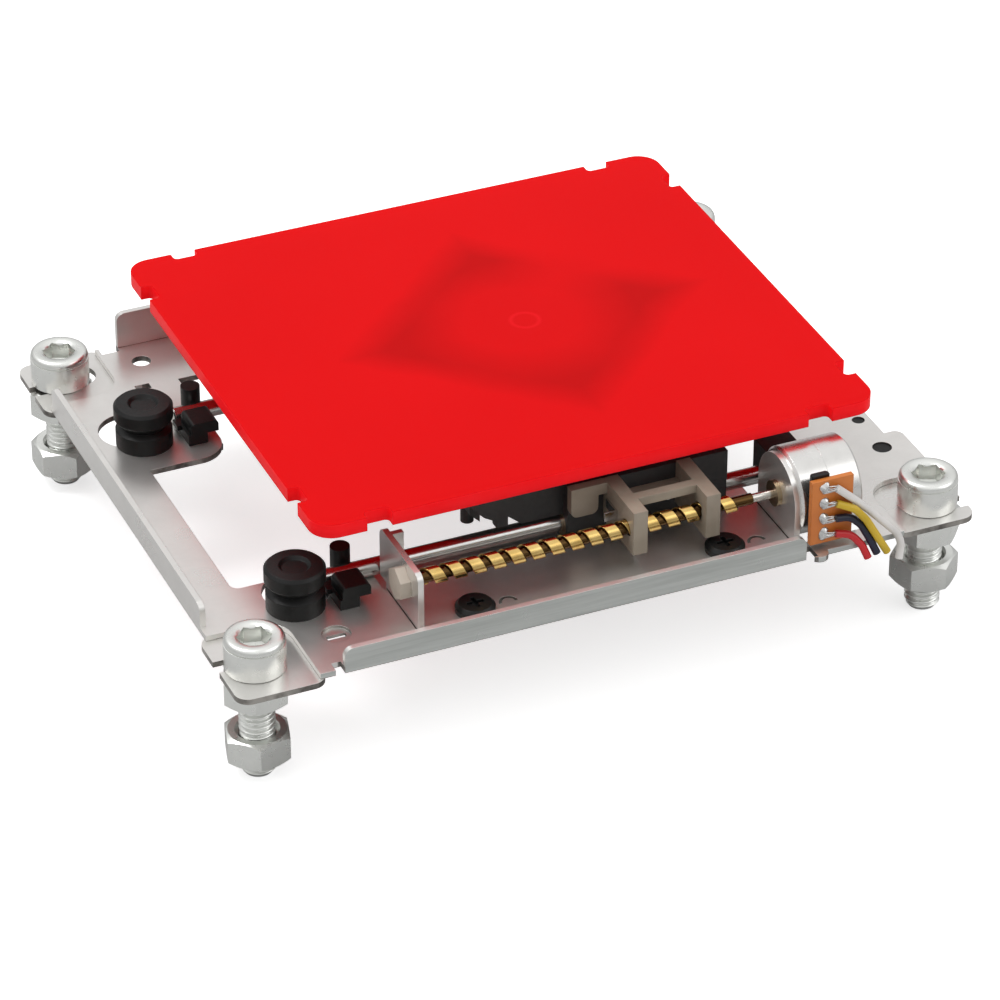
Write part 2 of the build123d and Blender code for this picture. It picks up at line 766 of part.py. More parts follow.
def carriage_casting():
    """The carriage: a ribbed tray over both rods with a front skirt and the front rod's sleeve."""
    inner_front = carriage_front + skirt_thickness
    body = block(carriage_left, carriage_right, inner_front, carriage_back, carriage_bottom, carriage_top)
    left_edges = body.edges().filter_by(Axis.Y).group_by(Axis.X)[0]
    body = chamfer(left_edges.sort_by(Axis.Z)[0], carriage_bevel_width)
    body = fillet(body.edges().filter_by(Axis.Z).group_by(Axis.Y)[-1], carriage_corner)
    middle = (carriage_left + carriage_right) / 2
    cell_edges = (carriage_left + carriage_wall, middle - carriage_rib / 2,
                  middle + carriage_rib / 2, carriage_right - carriage_wall)
    cell_back = rear_rod_y - shoe_depth / 2 - carriage_wall
    for x0, x1 in (cell_edges[:2], cell_edges[2:]):
        body -= block(x0, x1, inner_front, cell_back, carriage_bottom, carriage_top - carriage_roof)
    body += Pos(0, inner_front, 0) * extrude(Plane.XZ * make_face(carriage_side()), skirt_thickness)
    radius = sleeve_diameter / 2
    body += bar(sleeve_diameter, sleeve_left, carriage_right, front_rod_y, rod_z)
    body += block(sleeve_left, carriage_right, front_rod_y - radius, front_rod_y + radius, rod_z, carriage_top)
    body += block(sleeve_left, carriage_right, sleeve_front, inner_front, carriage_bottom, carriage_top)
    body -= bar(bush_diameter, sleeve_left, carriage_right + carriage_wall, front_rod_y, rod_z)
    body += post(lug_diameter, lug_x, lug_y, carriage_bottom - lug_drop, carriage_top - carriage_roof)
    for side in (-1, 1):
        body -= post(riser_screw_diameter, riser_x + side * riser_screw_x, riser_y,
                     carriage_bottom, carriage_top)
    for x in nut_screw_places():
        body -= stud(nut_screw_diameter, x, nut_screw_z, sleeve_front, sleeve_front + nut_screw_length)
    return body


def sleeve_bushes():
    """The two bearing bushes at the ends of the front sleeve."""
    bushes = []
    for left in (sleeve_left, carriage_right - bush_length):
        ring = bar(bush_diameter, left, left + bush_length, front_rod_y, rod_z)
        bore = rod_diameter + 2 * running_clearance
        bushes.append(ring - bar(bore, left - 1, left + bush_length + 1, front_rod_y, rod_z))
    return Compound(children=bushes)


def rear_shoe():
    """The plastic fork that slides on the rear rod and stops the carriage tipping."""
    x0 = shoe_x - shoe_length / 2
    bottom = rod_z - rod_diameter / 2 - shoe_clearance - shoe_lip
    shoe = block(x0, x0 + shoe_length, rear_rod_y - shoe_depth / 2, rear_rod_y + shoe_depth / 2,
                 bottom, carriage_bottom)
    slot = rod_diameter + 2 * shoe_clearance
    shoe -= bar(slot, x0 - 1, x0 + shoe_length + 1, rear_rod_y, rod_z)
    return shoe - block(x0 - 1, x0 + shoe_length + 1, rear_rod_y, rear_rod_y + shoe_depth,
                        rod_z - slot / 2, rod_z + slot / 2)


def nut_screw_places():
    """Where the two drive-nut screws sit along the carriage, between the nut's arms."""
    return (nut_left + nut_arm + nut_screw_inset, nut_right - nut_arm - nut_screw_inset)


def drive_nut():
    """The drive nut: two threaded arms, a bar across their tops, a base and a side tongue."""
    back = sleeve_front - nut_base
    nut = block(nut_left, nut_right, back, sleeve_front, nut_base_bottom, nut_base_bottom + nut_base_height)
    for left in (nut_left, nut_right - nut_arm):
        nut += block(left, left + nut_arm, nut_front, sleeve_front, nut_bottom, nut_top)
    nut += block(nut_left, nut_right, nut_bar_front, nut_bar_front + nut_bar_width, nut_top - nut_bar, nut_top)
    tongue = block(tongue_left, tongue_left + tongue_width, back, sleeve_front, tongue_bottom, nut_top)
    nut += fillet(tongue.edges().filter_by(Axis.Y).group_by(Axis.Z)[0], tongue_radius)
    nut += block(tongue_left + tongue_width / 2, nut_left, back, sleeve_front, nut_top - tongue_web, nut_top)
    for x in nut_screw_places():
        nut -= stud(nut_screw_diameter, x, nut_screw_z, back, sleeve_front)
    for left in (nut_left, nut_right - nut_arm):
        first_turn = int((left - thread_left) / screw_lead) - 1
        nut -= threaded_bar(left - 1, left + nut_arm + 1, first_turn, 3, mesh_clearance)
    return nut


def nut_screws():
    """The two small screws that hold the drive nut to the carriage."""
    screws = []
    face = sleeve_front - nut_base
    for x in nut_screw_places():
        head = stud(nut_screw_head, x, nut_screw_z, face - nut_screw_head_height, face)
        screws.append(head + stud(nut_screw_diameter, x, nut_screw_z, face, face + nut_screw_length))
    return Compound(children=screws)


def nut_spring():
    """The bent steel strip on the drive nut's left arm."""
    top = spring_bottom + spring_width
    strip = block(nut_left - spring_reach, nut_left, spring_front, spring_front + spring_thickness,
                  spring_bottom, top)
    return strip + block(nut_left - spring_thickness, nut_left, spring_front, sleeve_front - nut_base,
                         spring_bottom, top)


def diamond(reach, radius):
    """A square stood on its corner, reaching the same way along X and Y."""
    return Pos(riser_x, riser_y) * Rot(0, 0, 45) * RectangleRounded(reach * sqrt(2), reach * sqrt(2), radius)


def table_riser():
    """The diamond-shaped tray that lifts the table plate off the carriage."""
    floor_top = carriage_top + riser_floor
    floor = slab(diamond(riser_arm, carriage_corner), carriage_top, floor_top)
    wall = diamond(riser_arm, carriage_corner) - diamond(riser_arm - riser_wall * sqrt(2), carriage_corner - riser_wall)
    riser = floor + slab(wall, floor_top, table_bottom)
    riser += post(riser_hub_diameter, riser_x, riser_y, floor_top, table_bottom)
    for side in (-1, 1):
        riser -= post(riser_screw_diameter, riser_x + side * riser_screw_x, riser_y, carriage_top, floor_top)
    return riser


def riser_screws():
    """The two screws between the riser and the carriage."""
    screws = []
    seat = carriage_top + riser_floor
    for side in (-1, 1):
        x = riser_x + side * riser_screw_x
        head = post(riser_screw_head, x, riser_y, seat, seat + riser_screw_head_height)
        screws.append(head + post(riser_screw_diameter, x, riser_y, seat - riser_screw_length, seat))
    return Compound(children=screws)


def table_plate():
    """The flat acrylic table with two notches near every corner."""
    right = table_left + table_length
    back = table_front + table_width
    plan = area(table_left, right, table_front, back, table_corner)
    inset = notch_setback + notch_width / 2
    for x in (table_left + inset, right - inset):
        for y in (table_front, back):
            plan -= Pos(x, y) * RectangleRounded(notch_width, 2 * notch_depth, notch_radius)
    for y in (table_front + inset, back - inset):
        for x in (table_left, right):
            plan -= Pos(x, y) * RectangleRounded(2 * notch_depth, notch_width, notch_radius)
    return slab(plan, table_bottom, table_top)


lead_points = {
    "white": ((41.8, -53.95, 29.5), (44.6, -54.1, 26.7), (49.2, -55.2, 21.9), (49.8, -55.6, 20.0), (49.3, -56.0, 17.4)),
    "yellow": ((41.4, -54.9, 28.4), (43.3, -55.4, 26.1), (45.0, -55.8, 23.0), (47.0, -56.1, 19.4)),
    "blue": ((40.9, -54.2, 26.6), (42.8, -54.6, 24.8), (44.0, -55.2, 22.4), (45.2, -56.0, 19.5)),
    "red": ((41.1, -54.5, 23.3), (42.8, -55.2, 21.2), (43.6, -56.0, 19.0)),
}


def parts():
    """Every separate piece of the stage, by name."""
    front_bearing_left = motor_plate_left - bearing_boss
    rear_bearing_right = motor_right + bearing_boss
    pieces = {
        "chassis": chassis(),
        "screw_bracket": screw_bracket(),
        "bracket_screws": bracket_screws(),
        "end_bush": end_bush(),
        "front_rod": guide_rod(front_rod_left, front_rod_y),
        "rear_rod": guide_rod(rear_rod_left, rear_rod_y),
        "rod_holder_front_right": rod_holder(),
        "front_grommet": grommet("front_grommet"),
        "rear_grommet": grommet("rear_grommet"),
        "deck_plugs": deck_plugs(),
        "leg_bolts": leg_bolts(),
        "upper_nuts": upper_nuts(),
        "lower_nuts": lower_nuts(),
        "motor_front_cup": motor_cup(motor_left, motor_middle),
        "motor_rear_cup": motor_cup(motor_right, motor_middle),
        "motor_front_coil": motor_coil(motor_left),
        "motor_rear_coil": motor_coil(motor_right),
        "motor_front_bearing": motor_bearing(front_bearing_left, motor_left + motor_wall, False),
        "motor_rear_bearing": motor_bearing(motor_right - motor_wall, rear_bearing_right, True),
        "terminal_block": terminal_block(),
        "motor_board": motor_board(),
        "solder_joints": solder_joints(),
        "lead_screw": lead_screw(),
        "rotor_magnet": rotor_magnet(),
        "carriage_casting": carriage_casting(),
        "sleeve_bushes": sleeve_bushes(),
        "rear_shoe": rear_shoe(),
        "drive_nut": drive_nut(),
        "nut_screws": nut_screws(),
        "nut_spring": nut_spring(),
        "table_riser": table_riser(),
        "riser_screws": riser_screws(),
        "table_plate": table_plate(),
    }
    for corner, place in clip_places().items():
        pieces[f"rod_clip_{corner}"] = rod_clip(*place)
    for row, (colour, points) in enumerate(lead_points.items()):
        pieces[f"lead_{colour}"] = lead(row, points)
    return pieces


os.makedirs("parts", exist_ok=True)
for name, piece in parts().items():
    export_step(piece, f"parts/{name}.step")
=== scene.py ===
import json
import math
import random

import bmesh
import bpy
from mathutils import Matrix, Vector

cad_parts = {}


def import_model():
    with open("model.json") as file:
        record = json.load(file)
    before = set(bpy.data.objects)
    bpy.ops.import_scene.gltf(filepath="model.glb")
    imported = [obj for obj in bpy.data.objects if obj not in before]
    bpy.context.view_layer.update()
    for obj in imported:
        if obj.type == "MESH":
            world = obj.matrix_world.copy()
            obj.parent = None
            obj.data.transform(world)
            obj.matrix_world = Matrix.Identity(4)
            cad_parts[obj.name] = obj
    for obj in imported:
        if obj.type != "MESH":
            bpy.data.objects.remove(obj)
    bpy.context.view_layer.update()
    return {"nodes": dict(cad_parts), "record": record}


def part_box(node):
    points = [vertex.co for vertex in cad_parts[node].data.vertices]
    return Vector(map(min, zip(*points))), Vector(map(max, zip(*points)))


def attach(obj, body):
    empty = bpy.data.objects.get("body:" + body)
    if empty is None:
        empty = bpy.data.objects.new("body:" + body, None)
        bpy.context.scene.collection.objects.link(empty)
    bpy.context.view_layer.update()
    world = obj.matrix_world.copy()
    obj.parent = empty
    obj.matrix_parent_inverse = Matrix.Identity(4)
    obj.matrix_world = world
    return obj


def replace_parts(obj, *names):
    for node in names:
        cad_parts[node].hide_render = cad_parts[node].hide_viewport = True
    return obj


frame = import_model()
NODES = frame["nodes"]
RECORD = frame["record"]
MM = 0.001

# Places that materials look for, in metres as the shaders see them.
SCREW_Y, SCREW_Z = -43.6 * MM, 27.0 * MM
RISER_X, RISER_Y = 9.7 * MM, 5.7 * MM
DECK_TOP = 21.0 * MM
EAR_TOP = 20.0 * MM
THREAD_END = 28.4 * MM
# The part of a noise's range that is stretched to 0..1: wide for soft clouds, narrow for crisp marks.
SOFT = (0.3, 0.7)
CRISP = (0.35, 0.65)


# ---------------------------------------------------------------- building materials
class Mat:
    """A node material built by short calls; most of them return the socket that they made."""

    def __init__(self, name):
        self.name = name
        self.m = bpy.data.materials.new(name)
        self.m.use_nodes = True
        self.t = self.m.node_tree
        self.bsdf = self.t.nodes["Principled BSDF"]
        self.coord = self.t.nodes.new("ShaderNodeTexCoord").outputs["Object"]

    def node(self, kind, **facts):
        n = self.t.nodes.new(kind)
        for key, value in facts.items():
            setattr(n, key, value)
        return n

    def link(self, a, b):
        self.t.links.new(a, b)

    def axes(self, vector):
        """The X, Y and Z of a vector."""
        n = self.node("ShaderNodeSeparateXYZ")
        self.link(vector, n.inputs[0])
        return n.outputs

    def normal(self):
        """The X, Y and Z of the true surface normal."""
        return self.axes(self.node("ShaderNodeNewGeometry").outputs["True Normal"])

    def stretched(self, scale):
        """Object coordinates scaled by axis."""
        n = self.node("ShaderNodeMapping")
        n.inputs["Scale"].default_value = scale
        self.link(self.coord, n.inputs["Vector"])
        return n.outputs["Vector"]

    def noise(self, scale, detail=4.0, rough=0.55, vector=None):
        n = self.node("ShaderNodeTexNoise")
        n.inputs["Scale"].default_value = scale
        n.inputs["Detail"].default_value = detail
        n.inputs["Roughness"].default_value = rough
        self.link(vector or self.coord, n.inputs["Vector"])
        return n.outputs["Fac"]

    def span(self, value, low, high, to_low=0.0, to_high=1.0):
        """The value carried from one range to another and held inside it."""
        n = self.node("ShaderNodeMapRange")
        self.link(value, n.inputs["Value"])
        for key, number in (("From Min", low), ("From Max", high), ("To Min", to_low), ("To Max", to_high)):
            n.inputs[key].default_value = number
        return n.outputs["Result"]

    def mix(self, fac, a, b):
        """Colour a where fac is 0 and colour b where it is 1."""
        n = self.node("ShaderNodeMix", data_type="RGBA")
        self.link(fac, n.inputs["Factor"])
        for key, colour in ((6, a), (7, b)):
            if isinstance(colour, tuple):
                n.inputs[key].default_value = (*colour, 1.0)
            else:
                self.link(colour, n.inputs[key])
        return n.outputs[2]

    def math(self, op, a, b=None):
        n = self.node("ShaderNodeMath", operation=op)
        for i, v in enumerate((a, b)):
            if v is None:
                continue
            if isinstance(v, (int, float)):
                n.inputs[i].default_value = v
            else:
                self.link(v, n.inputs[i])
        return n.outputs[0]

    def more(self, value, limit):
        return self.math("GREATER_THAN", value, limit)

    def less(self, value, limit):
        return self.math("LESS_THAN", value, limit)

    def size(self, value):
        return self.math("ABSOLUTE", value)

    def without(self, mask):
        return self.math("SUBTRACT", 1.0, mask)

    def every(self, first, *others):
        """The product of several masks."""
        for other in others:
            first = self.math("MULTIPLY", first, other)
        return first

    def distance(self, a, b):
        """The length of the vector with sides a and b."""
        return self.math("SQRT", self.math("ADD", self.math("MULTIPLY", a, a), self.math("MULTIPLY", b, b)))

    def bump(self, height, strength, distance, edge):
        """Fine relief; where edge is given, corners look rounded by that radius."""
        n = self.node("ShaderNodeBump")
        n.inputs["Strength"].default_value = strength
        n.inputs["Distance"].default_value = distance
        self.link(height, n.inputs["Height"])
        if edge:
            b = self.node("ShaderNodeBevel", samples=4)
            b.inputs["Radius"].default_value = edge
            self.link(b.outputs["Normal"], n.inputs["Normal"])
        self.link(n.outputs["Normal"], self.bsdf.inputs["Normal"])

    def colour(self, value):
        self.link(value, self.bsdf.inputs["Base Color"])

    def roughness(self, value):
        self.link(value, self.bsdf.inputs["Roughness"])

    def set(self, **facts):
        for key, value in facts.items():
            self.bsdf.inputs[key.replace("_", " ")].default_value = value


def uneven(m, noise, rough):
    """A roughness that wanders 15% to either side."""
    m.roughness(m.span(noise, *SOFT, rough * 0.85, rough * 1.15))


def metal(name, light, dark, rough, grain, edge=0.12 * MM, streak=(1, 1, 1), bump=0.05, level=1.0):
    """Bare or plated metal: faintly clouded colour, uneven roughness and fine surface grain."""
    m = Mat(name)
    cloud = m.noise(240, detail=6, rough=0.65)
    fine = m.noise(grain, detail=3, rough=0.6, vector=m.stretched(streak))
    m.clouded = m.mix(m.span(cloud, *SOFT), dark, light)
    m.colour(m.clouded)
    uneven(m, fine, rough)
    m.bump(fine, strength=bump, distance=0.06 * MM, edge=edge)
    m.set(Metallic=level)
    return m


def plastic(name, base, shade, rough, grain=1800, bump=0.08, gloss=0.5):
    """Moulded plastic or rubber with a faint skin texture."""
    m = Mat(name)
    cloud = m.noise(160, detail=3, rough=0.5)
    skin = m.noise(grain, detail=2, rough=0.5)
    m.colour(m.mix(m.span(cloud, *SOFT), shade, base))
    uneven(m, skin, rough)
    m.bump(skin, strength=bump, distance=0.05 * MM, edge=0.15 * MM)
    m.set(Specular_IOR_Level=gloss)
    return m


# ---------------------------------------------------------------- the part's materials
def plated_sheet():
    """Satin zinc plate: smooth faces, dull sheared edges and a front flange face with brush streaks along its
    length, painted darker as shade.
    """
    m = metal("plated_sheet", light=(0.82, 0.805, 0.78), dark=(0.77, 0.755, 0.73), rough=0.31, grain=60,
              bump=0.001, level=0.85)
    facing, where, slack = m.normal(), m.axes(m.coord), 0.1 * MM

    # Painted shade: the flange's front face is coloured darker than the rest of the sheet; the streaks on it
    # are real brush marks.
    flange_front, facing_front = -53.6 * MM, -0.9
    flange = m.every(m.less(facing["Y"], facing_front), m.less(where["Y"], flange_front),
                     m.more(where["Z"], EAR_TOP + slack))
    scratch = m.noise(260, detail=5, rough=0.7, vector=m.stretched((0.10, 1.0, 2.4)))
    brushed_and_shaded = m.mix(m.span(scratch, *CRISP), (0.46, 0.48, 0.46), (0.60, 0.62, 0.60))

    lip_bend, leg_side_x, leg_side_y = -63.4 * MM, 47.5 * MM, 33.0 * MM
    upright = m.less(m.size(facing["Z"]), 0.5)
    on_ear = m.less(where["Z"], EAR_TOP + slack)
    on_sheet = m.every(m.less(where["Z"], DECK_TOP + slack), upright)
    beside_leg = m.every(m.more(m.size(where["X"]), leg_side_x), m.more(m.size(where["Y"]), leg_side_y))
    step = m.every(beside_leg, m.without(on_ear))
    cut = m.every(on_sheet, m.math("MAXIMUM", m.more(where["X"], lip_bend), on_ear), m.without(step),
                  m.without(flange))
    burnt = m.mix(m.span(m.noise(300, detail=3), *CRISP), (0.13, 0.12, 0.11), (0.42, 0.40, 0.37))
    m.colour(m.mix(cut, m.mix(flange, m.clouded, brushed_and_shaded), burnt))
    return m


def lead_screw_brass():
    """Rolled brass, darker towards the root of the groove than on the crests; the plain journal is steel."""
    m = metal("brass", light=(0.86, 0.62, 0.24), dark=(0.66, 0.43, 0.13), rough=0.2, grain=500,
              streak=(1, 0.15, 0.15))
    where = m.axes(m.coord)
    reach = m.distance(m.math("SUBTRACT", where["Y"], SCREW_Y), m.math("SUBTRACT", where["Z"], SCREW_Z))
    groove_root_tone, steel = (0.10, 0.055, 0.02), (0.62, 0.60, 0.56)
    rolled = m.mix(m.span(reach, 1.15 * MM, 1.45 * MM), groove_root_tone, m.clouded)
    m.colour(m.mix(m.more(where["X"], THREAD_END), rolled, steel))
    return m


def red_acrylic():
    """Saturated red sheet: even faces, cut edges painted paler as a highlight, a painted shadow of the riser
    beneath as a darker frame, and a painted light ring over the riser's hub.
    """
    m = Mat("red_acrylic")
    where = m.axes(m.coord)
    across, along = m.math("SUBTRACT", where["X"], RISER_X), m.math("SUBTRACT", where["Y"], RISER_Y)
    radius = m.distance(across, along)
    ragged = m.math("MULTIPLY", m.math("SUBTRACT", m.noise(70, detail=3), 0.5), 6.0 * MM)
    cloud = m.noise(22, detail=2, rough=0.5)
    face = m.mix(m.span(cloud, *SOFT), (0.655, 0.001, 0.0025), (0.685, 0.0015, 0.003))

    # Painted shadow of the riser seen through the sheet: a darker diamond with a lighter middle that fades
    # towards the far corner.
    diamond = m.math("ADD", m.size(across), m.math("MULTIPLY", m.size(along), 1.06))
    inside = m.span(m.math("ADD", diamond, ragged), 24.5 * MM, 34.0 * MM, 1, 0)
    middle = m.span(m.math("ADD", radius, ragged), 10.0 * MM, 20.0 * MM, 0.2, 1)
    far_side = m.span(m.math("MINIMUM", across, along), 3.0 * MM, 11.0 * MM, 1, 0.25)
    face = m.mix(m.every(inside, middle, far_side), face, (0.50, 0.0008, 0.0015))

    # Painted light: a thin paler ring over the riser's hub.
    hub_radius, hub_width = 2.4 * MM, 0.6 * MM
    hub = m.span(m.size(m.math("SUBTRACT", radius, hub_radius)), 0.0, hub_width, 0.4, 0.0)
    face = m.mix(hub, face, (0.84, 0.012, 0.02))

    # Painted highlight: upright cut edges get a paler red than the flat faces.
    edge = m.mix(m.noise(120, detail=2), (0.97, 0.006, 0.01), (1.0, 0.018, 0.024))
    upright, flat = 0.3, 0.7
    m.colour(m.mix(m.span(m.size(m.normal()["Z"]), upright, flat), edge, face))
    m.roughness(m.span(m.noise(300, detail=3), *SOFT, 0.2, 0.27))
    m.bump(m.noise(400, detail=2), strength=0.01, distance=0.03 * MM, edge=0.3 * MM)
    m.set(Specular_IOR_Level=0.035, Subsurface_Weight=0.35, Subsurface_Scale=4.0 * MM,
          Subsurface_Radius=(1.0, 0.08, 0.08))
    return m


MATS = {made.name: made.m for made in (
    # Metals.
    plated_sheet(),
    metal("bright_steel", light=(0.68, 0.68, 0.66), dark=(0.6, 0.6, 0.58), rough=0.22, grain=500,
          streak=(0.05, 1, 1)),
    metal("plated_bolt", light=(0.86, 0.87, 0.84), dark=(0.78, 0.79, 0.76), rough=0.30, grain=700,
          edge=0, bump=0.01),
    metal("motor_case", light=(0.8, 0.79, 0.77), dark=(0.73, 0.72, 0.70), rough=0.26, grain=140, bump=0.006),
    metal("bronze", light=(0.36, 0.28, 0.18), dark=(0.28, 0.21, 0.13), rough=0.4, grain=900),
    lead_screw_brass(),
    metal("solder", light=(0.75, 0.75, 0.74), dark=(0.6, 0.6, 0.6), rough=0.2, grain=1200, bump=0.4),
    metal("spring_steel", light=(0.7, 0.7, 0.7), dark=(0.6, 0.6, 0.6), rough=0.2, grain=700),
    # Black pieces.
    plastic("black_steel", base=(0.008, 0.008, 0.008), shade=(0.004, 0.004, 0.004), rough=0.35, gloss=0.3),
    plastic("black_plastic", base=(0.006, 0.006, 0.006), shade=(0.003, 0.003, 0.003), rough=0.4, bump=0.03,
            gloss=0.3),
    plastic("black_rubber", base=(0.005, 0.005, 0.005), shade=(0.002, 0.002, 0.002), rough=0.42, bump=0.03,
            gloss=0.3),
    # Plastics and coated pieces.
    plastic("white_nylon", base=(0.60, 0.53, 0.45), shade=(0.48, 0.42, 0.35), rough=0.45),
    plastic("beige_plastic", base=(0.33, 0.28, 0.22), shade=(0.24, 0.20, 0.155), rough=0.4),
    plastic("orange_board", base=(0.62, 0.19, 0.03), shade=(0.5, 0.14, 0.02), rough=0.4, grain=900),
    plastic("grey_casting", base=(0.035, 0.035, 0.035), shade=(0.022, 0.022, 0.023), rough=0.5, grain=1500,
            bump=0.2),
    plastic("ferrite", base=(0.04, 0.04, 0.045), shade=(0.03, 0.03, 0.03), rough=0.6),
    plastic("copper_winding", base=(0.4, 0.14, 0.05), shade=(0.3, 0.09, 0.03), rough=0.4),
    red_acrylic(),
    # Lead insulation.
    plastic("white_lead", base=(0.72, 0.70, 0.68), shade=(0.6, 0.58, 0.56), rough=0.35),
    plastic("yellow_lead", base=(0.60, 0.40, 0.02), shade=(0.48, 0.32, 0.01), rough=0.35),
    plastic("blue_lead", base=(0.01, 0.012, 0.035), shade=(0.006, 0.008, 0.02), rough=0.35),
    plastic("red_lead", base=(0.55, 0.012, 0.02), shade=(0.45, 0.008, 0.012), rough=0.35),
)}
for row in RECORD["subparts"]:
    node = NODES[row["node"]]
    node.data.materials.clear()
    node.data.materials.append(MATS[row["material_slot"]])


# ---------------------------------------------------------------- building pieces, in millimetres
def piece(name, groups, slot, sharp=35, loop=False):
    """A mesh piece that rides on the frame, from groups of equal rings of points.

    Each group is a closed skin: its two end rings close to a point, or with loop the last joins the first.
    """
    verts, faces = [], []
    for group in groups:
        count = len(group[0])
        base = len(verts)
        for points in group:
            verts.extend(points)
        last = len(group) if loop else len(group) - 1
        for k in range(last):
            a, b = base + k * count, base + (k + 1) % len(group) * count
            for i in range(count):
                j = (i + 1) % count
                faces.append((a + i, a + j, b + j, b + i))
        if not loop:
            for points, first in ((group[0], base), (group[-1], base + (len(group) - 1) * count)):
                middle = sum((Vector(p) for p in points), Vector()) / count
                verts.append(tuple(middle))
                for i in range(count):
                    faces.append((first + i, first + (i + 1) % count, len(verts) - 1))
    mesh = bpy.data.meshes.new(name)
    mesh.from_pydata([tuple(c * MM for c in v) for v in verts], [], faces)
    work = bmesh.new()
    work.from_mesh(mesh)
    bmesh.ops.recalc_face_normals(work, faces=work.faces)
    work.to_mesh(mesh)
    work.free()
    mesh.polygons.foreach_set("use_smooth", [True] * len(mesh.polygons))
    mesh.set_sharp_from_angle(angle=math.radians(sharp))
    mesh.materials.append(MATS[slot])
    made = bpy.data.objects.new(name, mesh)
    bpy.context.scene.collection.objects.link(made)
    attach(made, "frame")
    return made


def ring(place, radius, height, turn=0.0, sides=48):
    """Points round an upright axis; radius and height may change with the angle."""
    points = []
    for i in range(sides):
        a = math.tau * i / sides
        r = radius(a) if callable(radius) else radius
        z = height(a) if callable(height) else height
        points.append((place[0] + r * math.cos(a + turn), place[1] + r * math.sin(a + turn), z))
    return points


def hexagon(flats):
    """Radius of a hexagon at an angle counted from a corner."""
    return lambda a: flats / 2 / math.cos(a % (math.pi / 3) - math.pi / 6)


# ---------------------------------------------------------------- legs
# The legs and their turns run front left, front right, rear right, rear left.
FEET = next(mount for mount in RECORD["mounts"] if mount["name"] == "feet")["dims"]
LEG_X, LEG_Y = FEET["spacing_x_mm"] / 2, FEET["spacing_y_mm"] / 2
CORNERS = ((-LEG_X, -LEG_Y), (LEG_X, -LEG_Y), (LEG_X, LEG_Y), (-LEG_X, LEG_Y))
SOCKET_TURNS = (-13.4, -23.4, 8.0, -23.4)
LOWER_TURNS = (14.6, -18.0, 0.0, -28.0)
LOWER_RISES = (3.1, 5.3, 3.4, 2.8)
UPPER_TURNS = (9.0, -12.0, 20.0, 5.0)
UPPER_RISE = 14.0
# Radius and height of the bolt's tip, and from the thread's end over the shoulder, the head and its turned rim.
BOLT_TIP = ((2.1, 0.0), (2.3, 0.12))
BOLT_HEAD = ((2.97, 19.96), (3.0, 20.0), (4.7, 20.0), (4.96, 20.12), (5.0, 20.3), (5.0, 24.55), (4.98, 24.68),
             (4.8, 24.74), (4.8, 24.95), (4.95, 25.02), (4.93, 25.2), (4.82, 25.55), (4.6, 25.84), (4.3, 25.97),
             (4.0, 26.0), (3.2, 26.0))


def bolt(place, turn):
    """One socket-cap bolt: rolled thread, head with a turned rim, hexagon socket with a coned floor."""
    pitch, root, depth, end, step = 1.0, 2.42, 0.55, 19.9, 0.1
    run_in, full_at, crest_shape = 0.3, 1.0, 0.8
    first_step = 4
    rings = [ring(place, r, z, turn) for r, z in BOLT_TIP]
    for k in range(first_step, int(end / step) + 1):
        z = k * step
        grown = min(1.0, (z - run_in) / (full_at - run_in))

        def thread(a):
            phase = z / pitch - a / math.tau
            return root + depth * grown * (0.5 + 0.5 * math.cos(math.tau * phase)) ** crest_shape
        rings.append(ring(place, thread, z, turn))
    rings += [ring(place, r, z, turn) for r, z in BOLT_HEAD]

    socket, mouth, mouth_radius, mouth_slope = hexagon(5.0), 25.98, 3.2, 0.5
    wall, wall_top, wall_end = 0.97, 25.3, 22.9
    floor_edge, floor_top, tip_radius, tip = 0.9, 22.82, 0.3, 22.3
    return rings + [ring(place, socket, lambda a: mouth - mouth_slope * (mouth_radius - socket(a)), turn),
                    ring(place, lambda a: wall * socket(a), wall_top, turn),
                    ring(place, lambda a: wall * socket(a), wall_end, turn),
                    ring(place, lambda a: floor_edge * socket(a), floor_top, turn),
                    ring(place, tip_radius, tip, turn)]


def nut(place, bottom, turn):
    """One hexagon nut: both faces turned to a cone, the threaded bore opened by a countersink."""
    flats, height, face, slope = 10.0, 5.0, 4.75, 0.577
    bore, sunk, sunk_depth, mouth, mouth_depth = 3.0, 3.45, 0.5, 3.65, 0.25
    body, top = hexagon(flats), bottom + height

    def turned(a):
        return slope * (body(a) - face)
    return [ring(place, bore, bottom + sunk_depth, turn), ring(place, sunk, bottom, turn),
            ring(place, face, bottom, turn), ring(place, body, lambda a: bottom + turned(a), turn),
            ring(place, body, lambda a: top - turned(a), turn), ring(place, face, top, turn),
            ring(place, mouth, top, turn), ring(place, sunk, top - mouth_depth, turn),
            ring(place, bore, top - mouth_depth - sunk_depth, turn)]


bolts = [bolt(c, math.radians(t)) for c, t in zip(CORNERS, SOCKET_TURNS)]
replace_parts(piece("bolts", bolts, "plated_bolt", sharp=50), "leg_bolts")
lower = [nut(c, z, math.radians(t)) for c, z, t in zip(CORNERS, LOWER_RISES, LOWER_TURNS)]
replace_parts(piece("adjusting_nuts", lower, "plated_bolt", sharp=28, loop=True), "lower_nuts")
upper = [nut(c, UPPER_RISE, math.radians(t)) for c, t in zip(CORNERS, UPPER_TURNS)]
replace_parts(piece("clamping_nuts", upper, "plated_bolt", sharp=28, loop=True), "upper_nuts")

# ---------------------------------------------------------------- solder joints and bare strands
JOINT_TOP, JOINT_PITCH = 32.5, 2.9
ROWS = [JOINT_TOP - JOINT_PITCH * k for k in range(4)]
BOARD_FRONT = -53.2
JOINT_X, LEAD_X = 36.7, 38.75
# Radius of a solder mound and how far it stands proud there.
MOUND = ((0.98, 0.0), (0.95, 0.12), (0.82, 0.3), (0.62, 0.48), (0.42, 0.64), (0.2, 0.76))


